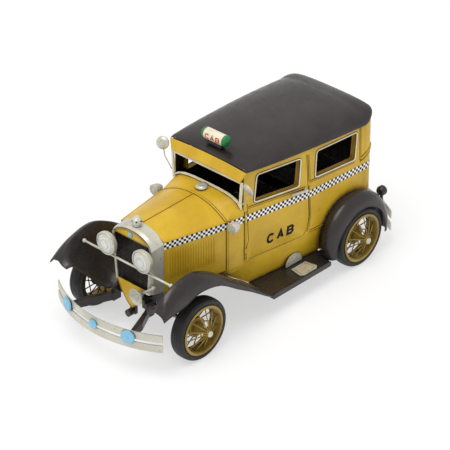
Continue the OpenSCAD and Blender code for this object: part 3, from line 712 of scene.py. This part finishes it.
def beads(wall, top):
    """Pressed ridges and mouldings of the mustard shell."""
    shape = Shape()
    for path, radius in SIDE_BEADS:
        shape.tube([wall.side(y, z, 0.05) for y, z in spread(path, 5)], radius)
    for y, z in ((-22.6, 92), (-22.6, 62)):
        shape.tube([wall.side(y, z, 0.5), wall.side(y, z - 4.4, 0.5)], 1.0, 10)
    start = wall.along(BELT_START)
    for path, radius in BELTS:
        shape.tube([wall.at(start + d, z, 0.3) for d, z in spread(path, 3)], radius)
    shape.tube([wall.at(wall.length - 38.5, z, 0.1) for z in steps(128, 52, 8)], 0.5)
    hood = corners("hood_left")
    shoulder = [(hood[0].y + 0.6, 98.1), (hood[1].y - 0.4, 95.95)]
    shape.tube([wall.side(y, z, 0.05) for y, z in spread(shoulder, 3)], 0.6)
    shape.tube([wall.side(hood[1].y + 0.2, z, 0.1) for z in steps(95.6, 47.6, 6)], 0.75)
    shape.mirror()
    shape.tube([top(0, y, 0.1) for y in steps(hood[0].y + 0.8, hood[1].y - 1, 16)], 0.6)
    shape.tube([top(x, y, 0.1) for x, y in hood_seam()], 0.8)
    make("shell_beads", shape, "mustard_paint")


def hood_seam():
    """(x, y) points across the bonnet's rear edge."""
    y = corners("hood_left")[1].y - 0.6
    return [(SEAM_REACH * math.sin(math.radians(angle)), y) for angle in steps(-78, 78, 36)]


def stains(wall, top):
    """Thin brown lines of old antique stain beside the beads, in the door's grooves and round the windows.
    """
    shape = Shape()
    for path, radius in SIDE_BEADS:
        ribbon(shape, wall.side, path, 2 * radius + 1.3)
    for path, width in DOOR_LINES:
        ribbon(shape, wall.side, path, width + 0.1, -0.28, -0.5)
    start = wall.along(BELT_START)
    for path, radius in BELTS:
        ribbon(shape, lambda d, z, out: wall.at(start + d, z, out), path, 2 * radius + 0.9)
    hood = corners("hood_left")
    ribbon(shape, wall.side, [(hood[0].y + 0.8, 97.0), (hood[1].y - 1.2, 94.9)], 1.7)
    ribbon(shape, wall.side, [(hood[1].y + 0.2, 95.4), (hood[1].y + 0.2, 47.8)], 2.7)
    ribbon(shape, wall.side, [(hood[0].y + 1.2, 47.6), (hood[1].y - 1, 47.6)], 0.8)
    for path in SIDE_WINDOWS:
        ribbon(shape, wall.side, path + path[:1], 2.5, 0.05, -0.1)
    shape.mirror()
    ribbon(shape, top, [(0, hood[0].y + 1), (0, hood[1].y - 1.2)], 2.0)
    ribbon(shape, top, hood_seam(), 2.7, spacing=60)
    make("stains", shape, "mustard_paint", ["stain"], smooth=60)


def louvres(wall, count=19, front=-99.5, rear=-54.5, low=60, high=89):
    """Upright pressed louvres on the bonnet's sides, with a plain bead before them."""
    shape = Shape()
    pitch = (rear - front) / (count - 1)
    profile = [(-0.46, -0.1), (-0.3, 0.22), (-0.02, 0.5), (0.2, 0.56), (0.36, 0.3), (0.46, -0.1)]
    for k in range(count):
        y = front + k * pitch
        rows = []
        for t in steps(0, 1, 10):
            full = min(1, math.sqrt(max(0, 1 - abs(2 * t - 1) ** 14)) + 0.02)
            z = low + (high - low) * t
            wide = pitch * 0.9 * (0.4 + 0.6 * full)
            rows.append([wall.side(y + u * wide, z, out * full if out > 0 else out) for u, out in profile])
        shape.grid(rows, wrap_columns=True, caps=True)
    shape.tube([wall.side(front - 3.4, z, 0) for z in steps(high, low, 4)], 0.35, 6)
    shape.mirror()
    make("louvres", shape, "mustard_paint", smooth=60)


def window_reveals(wall):
    """The folded inner edges of the side windows, in a darker mustard that is painted shade."""
    shape = Shape()
    for outline in SIDE_WINDOWS:
        path = [Vector(p) for p in outline]
        middle = sum(path, Vector((0, 0))) / len(path)
        rows = []
        for shrink, out in ((0.0, -0.2), (0.15, -0.2), (0.3, -3.8), (1.1, -4.2), (1.1, -4.8), (-0.5, -4.8),
                            (-0.5, -1.0)):
            moved = [p - (p - middle).normalized() * shrink for p in path]
            rows.append([wall.side(p.x, p.y, out) for p in moved])
        shape.grid(rows, wrap_rows=True, wrap_columns=True)
    shape.mirror()
    make("window_reveals", shape, "mustard_paint", ["mustard_in_shade"])


def window_frames(wall):
    """Cream beads round the side windows and the back window."""
    shape = Shape()
    for path in SIDE_WINDOWS:
        shape.tube([wall.side(y, z, 0.2) for y, z in path], 0.68, closed=True)
    shape.mirror()
    back = corners("body_back")[1].y
    glass = rounded([(-20, 107), (20, 107), (20, 125), (-20, 125)], 2.5)
    shape.tube([(x, back, z) for x, z in glass], 0.65, closed=True)
    make("window_frames", shape, "cream_paint", nodes=["window_trims"])


# ---- Plain block letters ----

def stroke(points, width, closed=False):
    """Four-sided outlines that follow a line of (u, v) points with mitred corners."""
    points = [Vector(p) for p in points]
    n = len(points)
    sides = []
    for i, here in enumerate(points):
        before = points[i - 1] if closed or i else None
        after = points[(i + 1) % n] if closed or i < n - 1 else None
        ends = ((before, here), (here, after))
        runs = [(b - a).normalized() for a, b in ends if a is not None and b is not None]
        normals = [Vector((-r.y, r.x)) for r in runs]
        miter = sum(normals, Vector((0, 0))).normalized()
        reach = width / 2 / max(0.4, miter.dot(normals[0]))
        sides.append((here + miter * reach, here - miter * reach))
    pairs = [(sides[i], sides[(i + 1) % n]) for i in range(n if closed else n - 1)]
    return [[a[0], b[0], b[1], a[1]] for a, b in pairs]


def word_outlines(height, width, gap, pen):
    """Outlines of the letters C, A and B in block form, cut into short pieces that can follow a curve."""
    h = height - pen
    w = width - pen
    cut = w * 0.28
    letter_c = stroke([(w, h * 0.84), (w - cut, h), (cut, h), (0, h - cut), (0, cut), (cut, 0),
                       (w - cut, 0), (w, h * 0.16)], pen)
    letter_a = stroke([(0, 0), (w / 2, h), (w, 0)], pen)
    letter_a += stroke([(w * 0.22, h * 0.3), (w * 0.78, h * 0.3)], pen * 0.8)
    letter_b = stroke([(0, 0), (w - cut, 0), (w, cut), (w, h * 0.52 - cut), (w - cut * 0.7, h * 0.52),
                       (w, h * 0.52 + cut), (w, h - cut), (w - cut, h), (0, h)], pen, closed=True)
    letter_b += stroke([(pen / 2, h * 0.52), (w - cut * 0.7, h * 0.52)], pen * 0.8)
    made = []
    for k, letter in enumerate((letter_c, letter_a, letter_b)):
        shift = Vector((k * (width + gap) + pen / 2, pen / 2))
        for outline in letter:
            made += pieces([p + shift for p in outline])
    return made, 3 * width + 2 * gap


def pieces(outline, longest=0.7):
    """A four-sided outline cut across its length into short ones."""
    a, b, c, d = outline
    count = max(1, math.ceil(max((b - a).length, (c - d).length) / longest))
    made = []
    for i in range(count):
        near = i / count
        far = (i + 1) / count
        made.append([tuple(p) for p in (a.lerp(b, near), a.lerp(b, far), d.lerp(c, far), d.lerp(c, near))])
    return made


def door_words(wall, height=9.2, middle=16, foot=56.4):
    """The black word on each door."""
    outlines, length = word_outlines(height, 8, 3, 2.25)
    for side, name in ((1, "left"), (-1, "right")):
        shape = Shape()

        def to_door(u, v, out, side=side):
            lean = 0.12 * v
            y = middle + side * (u + lean - length / 2)
            place = wall.side(y, foot + v, out)
            return Vector((side * place.x, place.y, place.z))
        shape.slab(outlines, to_door, -0.05, 0.12)
        make("door_word_" + name, shape, "black_paint", ["letter_black"], smooth=20)


def sign_word():
    """The small red word on the roof sign's front."""
    low, high = corners("sign_tube")
    axis_y = (low.y + high.y) / 2
    axis_z = (low.z + high.z) / 2
    radius = (high.z - low.z) / 2
    outlines, length = word_outlines(4.8, 4.4, 1.5, 0.95)

    def to_sign(u, v, out):
        angle = math.radians(2) + (v - 2.4) / radius
        r = radius + out
        return Vector((u - length / 2, axis_y - r * math.cos(angle), axis_z + r * math.sin(angle)))
    shape = Shape()
    shape.slab(outlines, to_sign, -0.1, 0.12)
    make("sign_word", shape, "cream_paint", ["letter_red"], smooth=20)


# ---- Front ----

def radiator_trim():
    """Mesh of small cells in the radiator, beads round the mustard panel and the apron's edges."""
    low, high = corners("radiator_core")
    mesh = Shape()
    front = low.y - 0.02
    foot = low.z + 0.6
    pitch = 1.5
    half = 19.6
    for i in range(int(2 * half / pitch) + 1):
        x = -half + i * pitch
        top = 101 - 0.012 * x * x
        section = [(x - 0.16, front), (x + 0.16, front), (x, front - 0.35)]
        mesh.prism([(px, py, foot) for px, py in section], [(px, py, top) for px, py in section])
    for k in range(int((high.z - low.z) / pitch)):
        z = low.z + 1 + k * pitch
        if z > 100:
            break
        section = [(front, z - 0.16), (front, z + 0.16), (front - 0.3, z)]
        mesh.prism([(-half, py, pz) for py, pz in section], [(half, py, pz) for py, pz in section])
    make("radiator_mesh", mesh, "black_paint", ["grille"], smooth=20)
    shape = Shape()
    low, high = corners("radiator_panel")
    half = high.x - 0.3
    rise = high.z - low.z - 0.6
    sill = low.z + 0.3
    shape.tube([(x, low.y, sill + rise * (1 - abs(x / half) ** 2.2)) for x in steps(-half, half, 28)], 0.5)
    shape.tube([(x, low.y, sill) for x in steps(-half, half, 4)], 0.45)
    low, high = corners("front_apron")
    edge = [(16.2, high.z - 0.3), (12, 44.1), (6, 35.2), (0.5, 29.8)]
    for side in (1, -1):
        shape.tube([(side * x, low.y, z) for x, z in edge], 0.45)
    make("radiator_beads", shape, "gold_paint")


def radiator_cap_detail():
    """Finger notches round the radiator cap."""
    low, high = corners("radiator_cap")
    middle_y = (low.y + high.y) / 2
    radius = 4.15
    notches = Shape()
    for angle in range(0, 360, 60):
        a = math.radians(angle + 12)
        place = (radius * math.cos(a), middle_y + radius * math.sin(a), high.z - 3.1)
        profile = [(0, -0.35), (0.8, -0.3), (0.8, 0.3), (0, 0.35)]
        notches.lathe(profile, place, (math.cos(a), math.sin(a), 0), 12)
    make("cap_notches", notches, "black_paint", ["seam"])


def lamp_rings():
    """Rolled rims of the headlamps, and the rings in their glasses."""
    low, high = corners("headlamps")
    radius = (high.z - low.z) / 2
    z = (high.z + low.z) / 2
    x = high.x - radius
    rims = Shape()
    glass = Shape()
    face = corners("headlamp_lenses")[0].y
    for side in (1, -1):
        centre = Vector((side * x, low.y + 0.5, z))
        rims.hoop(radius - 0.85, 0.75, centre, (0, 1, 0), 56)
        rims.hoop(radius - 0.5, 0.4, centre + Vector((0, 2.6, 0)), (0, 1, 0), 56)
        inner = Vector((side * x, face + 1.2, z))
        glass.hoop(7.2, 0.32, inner - Vector((0, 0.1, 0)), (0, 1, 0), 48)
        glass.hoop(4.4, 0.25, inner - Vector((0, 0.95, 0)), (0, 1, 0), 40)
    make("headlamp_rims", rims, "silver_paint")
    make("headlamp_rings", glass, "milky_lens")


def horn_and_lamps():
    """Rolled rims on the horn, the cowl lamps and the mirrors, and the horn's throat."""
    shape = Shape()
    throat = Shape()
    low = corners("horn")[0]
    centre = low + Vector((7.5, 0.3, 7.5))
    shape.hoop(7.1, 0.42, centre, (0, 1, 0), 40)
    throat.lathe([(0, 0.9), (1.2, 1.1), (2.4, 2.3), (4.2, 1.5), (6.4, 0.3), (6.4, 0.6), (4.2, 2.2), (0, 3)],
                 centre, (0, 1, 0), 36)
    make("horn_throat", throat, "silver_paint")
    low, high = corners("cowl_lamps")
    for side in (1, -1):
        centre = Vector((side * (high.x - 5), low.y + 0.75, 93.5))
        shape.hoop(4.55, 0.5, centre, (0, 1, 0), 32)
        shape.hoop(2.6, 0.3, centre - Vector((0, 0.35, 0)), (0, 1, 0), 24)
    low, high = corners("mirrors")
    near = Vector((high.x - 5.97, -29.4, high.z - 12.44))
    far = Vector((low.x + 5.84, -29.6, high.z - 5.24))
    for centre, axis in ((near, Vector((0.149, 0.939, 0.309))), (far, Vector((-0.352, 0.871, -0.342)))):
        shape.hoop(5.35, 0.45, centre + 0.45 * axis, axis, 32)
        shape.hoop(2.4, 0.3, centre - 1.15 * axis, axis, 24)
    make("lamp_rims", shape, "silver_paint")


# ---- Roof, fenders, boards ----

def rim_points(node, pick, key):
    """The node's points that pick accepts, once each, in order of key."""
    found = {}
    for vertex in NODES[node].data.vertices:
        place = vertex.co / MM
        if pick(place):
            found.setdefault(round(key(place), 1), place)
    return [found[k] for k in sorted(found)]


def roof_rim():
    """Points along the roof's left edge, and along its rear edge from the corner to the middle."""
    rows = {}
    back = []
    last = corners("roof_panel")[1].y
    for vertex in NODES["roof_panel"].data.vertices:
        place = vertex.co / MM
        key = round(place.y, 1)
        if key not in rows or place.x > rows[key].x:
            rows[key] = place
        if place.y > last - 0.05 and place.x > -0.05:
            back.append(place)
    upper = {}
    for place in back:
        key = round(place.x)
        if key not in upper or place.z > upper[key].z:
            upper[key] = place
    return [rows[k] for k in sorted(rows)], [upper[k] for k in sorted(upper, reverse=True)]


def roof_edges():
    """The drip bead round the roof's edge, and the mustard moulding under it."""
    side, back = roof_rim()
    shape = Shape()
    shape.tube([p - Vector((0.35, 0, -0.1)) for p in side], 0.6)
    shape.tube([p - Vector((0, 0.3, 0.5)) for p in back], 0.6)
    shape.mirror()
    make("roof_drip", shape, "black_paint")
    moulding = Shape()
    moulding.tube([p - Vector((2.2, 0, 1.3)) for p in side if p.y < 118], 0.7)
    moulding.mirror()
    make("roof_moulding", moulding, "mustard_paint")


def roof_back(wall):
    """The upright strip that closes the wrapped back up to the roof."""
    roof = tree_of("roof_panel")
    rows = []
    for s in steps(wall.along(119), wall.length, 44):
        foot, normal = wall.find(s)
        low = line([(118, 129.4), (125, 132.0), (129.5, 134.8), (131.5, 135.6)], foot.y)
        tops = []
        for depth in (0.25, 0.9):
            inside = foot - normal * depth
            above, _ = hit(roof, (inside.x, inside.y, low), UP)
            tops.append(above.z)
        rows.append([wall.at(s, low, -0.03), wall.at(s, tops[0], -0.03), wall.at(s, tops[1], -0.9),
                     wall.at(s, low, -0.9)])
    shape = Shape()
    shape.grid(rows, wrap_columns=True, caps=True)
    shape.mirror()
    make("roof_back", shape, "mustard_paint")


def axle_turn():
    """A sorting key: the angle of a point round the rear axle, from the fender's foot over its top."""
    low, high = corners("rear_axle")
    centre = (low + high) / 2
    return lambda p: (math.degrees(math.atan2(p.z - centre.z, centre.y - p.y)) + 40) % 360


def fender_edges():
    """Rolled edges along the fenders' lips."""
    shape = Shape()
    edge = corners("front_fender_left")[1].x
    for node, key in (("front_fender_left", lambda p: p.y), ("rear_fender_left", axle_turn())):
        lip = rim_points(node, lambda p: p.x > edge - 0.2, key)
        shape.tube([p - Vector((0.35, 0, 0)) for p in lip], 0.62)
    shape.mirror()
    make("fender_beads", shape, "black_paint")


def fender_welts():
    """The welts where the fenders' inner edges meet the body."""
    turn = axle_turn()
    for node, rear in (("front_fender_left", False), ("rear_fender_left", True)):
        inner = {}
        for vertex in NODES[node].data.vertices:
            place = vertex.co / MM
            key = round(turn(place) if rear else place.y, 1)
            if key not in inner or (place.x, -place.z) < (inner[key].x, -inner[key].z):
                inner[key] = place
        path = [inner[k] for k in sorted(inner)]
        if rear:
            path = [p for p in path if p.y < 128 and p.z > 24]
        else:
            path = [p for p in path if -102 < p.y < -20]
        shape = Shape()
        shape.tube([p + Vector((-0.1, 0, -0.2)) for p in path], 0.75)
        shape.mirror()
        make(node[:-5] + "_welts", shape, "black_paint")


def board_ribs():
    """A rolled edge along each running board, and the tongue that joins it to the rear fender."""
    shape = Shape()
    low, high = corners("running_boards")
    rear = max(v.co.y / MM for v in NODES["running_boards"].data.vertices if v.co.x / MM > high.x - 0.3)
    for x, radius in ((high.x - 0.5, 0.5), (high.x - 2.2, 0.28)):
        shape.tube([(x, y, high.z) for y in steps(low.y + 0.6, rear - 0.6, 12)], radius)
    foot = [(66, rear - 0.4), (58, rear + 0.2), (51.5, rear + 3.8), (45, rear + 7.4), (45.4, rear + 10.4),
            (52, rear + 6.6), (58.4, rear + 2.8), (66, rear + 1.6)]
    shape.prism([(x, y, low.z + 0.2) for x, y in foot], [(x, y, high.z - 0.9) for x, y in foot])
    shape.mirror()
    make("board_beads", shape, "black_paint")


def step_inserts():
    """The textured beige inlay and raised rim of each step plate."""
    low, high = corners("step_plates")
    y = (low.y + high.y) / 2
    inlay = Shape()
    rim = Shape()
    x_in = high.x - 12.2
    x_out = high.x - 2.4
    outline = [(x_in, y - 7), (x_out - 2, y - 8.4), (x_out, y - 6.2),
               (x_out, y + 6.2), (x_out - 2, y + 8.4), (x_in, y + 7)]
    plate_z = corners("running_boards")[1].z + 1.1
    top = plate_z + 0.16
    inlay.prism([(px, py, top) for px, py in outline], [(px, py, plate_z - 0.2) for px, py in outline])
    diamond_tread(inlay, outline, top)
    rim.tube([(px, py, plate_z + 0.15) for px, py in outline], 0.45, closed=True)
    rim.mirror()
    inlay.mirror()
    make("step_inlays", inlay, "cream_paint", ["beige_grit"], smooth=30)
    make("step_rims", rim, "silver_paint")


def diamond_tread(shape, outline, z):
    """Small pyramids in a diamond pattern over the inlay."""
    x_in = min(p[0] for p in outline)
    x_out = max(p[0] for p in outline)
    front = min(p[1] for p in outline)
    rear = max(p[1] for p in outline)
    pitch = 0.95
    r = 0.42
    foot = z - 0.02
    for i in range(int((x_out - x_in - 1.4) / pitch)):
        for j in range(int((rear - front - 2.4) / pitch)):
            x = x_in + 1.0 + (i + 0.5 * (j % 2)) * pitch
            y = front + 1.6 + j * pitch
            off = abs(y - (front + rear) / 2)
            if x > x_out - 0.8 or (x > x_out - 2.2 and off > 6.6) or off > 6.6 + 0.14 * (x - x_in):
                continue
            base = [(x - r, y, foot), (x, y - r, foot), (x + r, y, foot), (x, y + r, foot)]
            shape.add(base + [(x, y, z + 0.3)],
                      [[0, 1, 4], [1, 2, 4], [2, 3, 4], [3, 0, 4], [3, 2, 1, 0]])


# ---- Wheels ----

TYRE_BORE = 21.9


def tyres():
    """Rubber tyres with a rounded tread, shoulder ridges and moulded rings on the side walls."""
    for node in ("tyre_front_left", "tyre_front_right", "tyre_rear_left", "tyre_rear_right"):
        low, high = corners(node)
        centre = (low + high) / 2
        outer = (high.z - low.z) / 2
        half = (high.x - low.x) / 2
        middle = (outer + TYRE_BORE) / 2
        reach = (outer - TYRE_BORE) / 2
        profile = []
        for k in range(72):
            t = math.radians(k * 5)
            c = math.cos(t)
            s = math.sin(t)
            r = middle + reach * math.copysign(abs(c) ** 0.66, c)
            a = half * math.copysign(abs(s) ** 0.74, s)
            side = abs(a) / half
            for place in (middle + 1.5, middle - 0.6):
                if abs(r - place) < 0.26 and side > 0.6:
                    a *= 0.955
            if c > 0.6 and 0.28 < abs(a) / half < 0.4:
                r -= 0.3
            profile.append((r, a))
        shape = Shape()
        shape.lathe(profile, centre, (1, 0, 0), 96, closed=True)
        body = "front_wheelset" if "front" in node else "rear_wheelset"
        make(node + "_rubber", shape, "tyre_rubber", body=body, smooth=50, nodes=[node])


def wheel_detail():
    """Rings of the brake drum and of the rim's barrel, on each wheel."""
    for end in ("front", "rear"):
        low, high = corners(f"wheel_{end}_left")
        tyre_low, tyre_high = corners(f"tyre_{end}_left")
        hub = Vector(((tyre_low.x + tyre_high.x) / 2, (low.y + high.y) / 2, (low.z + high.z) / 2))
        drum = Shape()
        for r, out in ((8.7, -1.5), (6.8, -1.3), (5.2, 0.1)):
            drum.hoop(r, 0.32, hub + Vector((out, 0, 0)), (1, 0, 0), 40, 8)
        barrel = Shape()
        for out in (5.6, -1.4):
            barrel.hoop(20.3, 0.35, hub + Vector((out, 0, 0)), (1, 0, 0), 72, 8)
        make("drum_rings_" + end, drum.mirror(), "gold_paint", body=end + "_wheelset")
        make("barrel_rings_" + end, barrel.mirror(), "gold_paint", body=end + "_wheelset")


# ---- Bumper ----

def bumper_detail():
    """A bolt head in the middle of three of the blue discs, and a rim round each."""
    shape = Shape()
    for radius, place, turn in disc_places():
        axis = Vector((math.sin(turn), -math.cos(turn), 0))
        shape.hoop(radius - 0.45, 0.35, place, axis, 32, 8)
        shape.lathe([(0, -0.1), (0.9, -0.1), (0.9, 0.35), (0.6, 0.5), (0, 0.55)], place, axis, 12)
    make("disc_rims", shape, "blue_paint")


def disc_places():
    """Radius, face centre and turn of two discs on the bumper and the one on the radiator."""
    bumper = corners("front_bumper_bars")
    radius = 113.8
    pivot_y = bumper[0].y + radius
    made = []
    for angle in (18.1, -18.1):
        turn = math.radians(angle)
        place = Vector((math.sin(turn), -math.cos(turn), 0)) * (radius + 2.3 - 0.15)
        made.append((6.2, Vector((place.x, pivot_y + place.y, 36.1)), turn))
    made.append((2.3, Vector((0, corners("radiator_panel")[0].y - 0.75, 101.2)), 0))
    return made


def build_all():
    """Every piece of the visual model, in order."""
    wall = Wall()
    above = tree_of("hood_top", "cowl", "hood_left", "hood_right")

    def top(x, y, out):
        """A point on the bonnet or cowl from above."""
        place, normal = hit(above, (x, y, 160), (0, 0, -1))
        return place + normal * out
    body_panels(wall)
    checker_band(wall)
    beads(wall, top)
    stains(wall, top)
    louvres(wall)
    window_reveals(wall)
    window_frames(wall)
    door_words(wall)
    sign_word()
    radiator_trim()
    radiator_cap_detail()
    lamp_rings()
    horn_and_lamps()
    roof_edges()
    roof_back(wall)
    fender_edges()
    fender_welts()
    board_ribs()
    step_inserts()
    tyres()
    wheel_detail()
    bumper_detail()


MATERIALS = make_materials()
dress_cad()
make_camera()
make_stage()
build_all()
